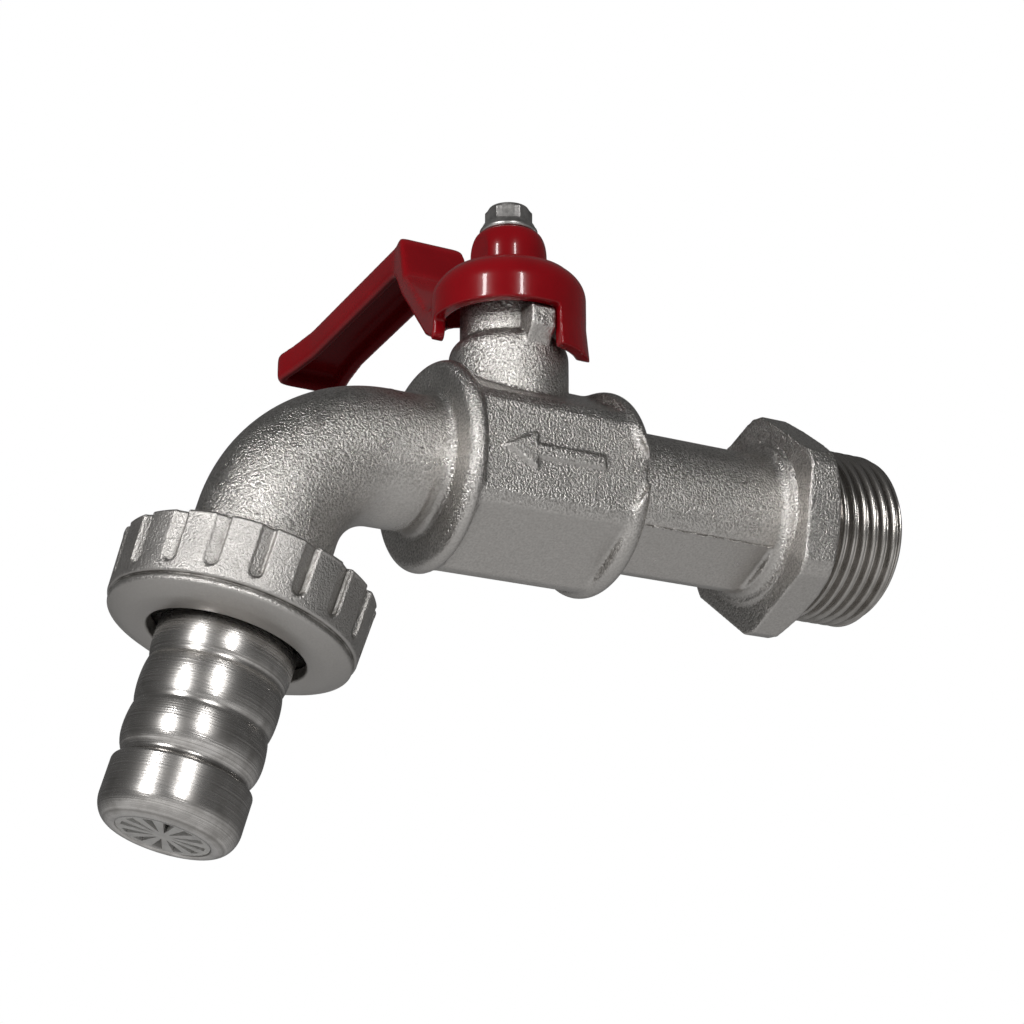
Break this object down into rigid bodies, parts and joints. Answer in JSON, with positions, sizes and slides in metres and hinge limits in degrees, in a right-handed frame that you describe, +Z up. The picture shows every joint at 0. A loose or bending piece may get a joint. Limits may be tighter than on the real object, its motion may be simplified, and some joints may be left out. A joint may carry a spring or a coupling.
{
  "type": "ball outlet tap",
  "caption": "Quarter-turn ball outlet tap with a screwed inlet, a lever, a bent spout and a union nut that holds a barbed hose tail.",
  "frame": {"origin": "centre of the inlet thread at the hexagon's front face, where the thread starts", "axes": "+X runs out along the inlet thread, away from the tap; +Z runs up the stem; the spout is at -X and its outlet points down; with the lever shut its arm points to +Y"},
  "size_m": [0.1195, 0.0877, 0.1046],
  "materials": {
    "forging": "forged brass, blasted and nickel plated",
    "connector_forging": "forged brass, blasted and nickel plated, with a machined thread",
    "seal_rubber": "smooth black rubber",
    "ball_chrome": "polished chrome on brass",
    "seat_plastic": "white low-friction plastic",
    "stem_metal": "turned brass",
    "lever_paint": "glossy red coating on die-cast metal",
    "screw_steel": "dull zinc-plated steel",
    "nut_metal": "cast, satin nickel plated",
    "tail_metal": "turned, satin nickel plated",
    "gasket_rubber": "flat black rubber",
    "straightener_plastic": "pale grey plastic"
  },
  "bodies": {
    "tap_body": {"body": "forging", "inlet_connector": "connector_forging", "connector_o_ring": "seal_rubber", "seat_inlet": "seat_plastic", "seat_outlet": "seat_plastic", "stem_thrust_washer": "seat_plastic"},
    "handle": {"lever": "lever_paint", "lever_screw": "screw_steel", "stem": "stem_metal", "stem_o_ring_lower": "seal_rubber", "stem_o_ring_upper": "seal_rubber"},
    "valve_ball": {"ball": "ball_chrome"},
    "gasket_carrier": {"tail_gasket": "gasket_rubber"},
    "nut": {"union_nut": "nut_metal"},
    "tail": {"hose_tail": "tail_metal", "jet_straightener": "straightener_plastic"}
  },
  "joints": [
    {"name": "lever_turn", "type": "hinge", "parent": "tap_body", "child": "handle", "pos_m": [-0.0476, 0, 0], "axis": [0, 0, 1], "range_deg": [0, 90]},
    {"name": "ball_turn", "type": "hinge", "parent": "tap_body", "child": "valve_ball", "pos_m": [-0.0476, 0, 0], "axis": [0, 0, 1], "range_deg": [0, 90]},
    {"name": "union_travel", "type": "slide", "parent": "tap_body", "child": "gasket_carrier", "axis": [-0.2857, 0, -0.9583], "range_m": [0, 0.00634]},
    {"name": "nut_turn", "type": "hinge", "parent": "gasket_carrier", "child": "nut", "pos_m": [-0.08867, 0, -0.0254], "axis": [-0.2857, 0, -0.9583], "range_deg": [0, 1260]},
    {"name": "tail_swivel", "type": "hinge", "parent": "gasket_carrier", "child": "tail", "pos_m": [-0.08867, 0, -0.0254], "axis": [-0.2857, 0, -0.9583], "continuous": true}
  ],
  "couplings": [
    {"joint": "ball_turn", "follows": "lever_turn", "ratio": 1},
    {"joint": "nut_turn", "follows": "union_travel", "rad_per_m": 3463.8}
  ]
}
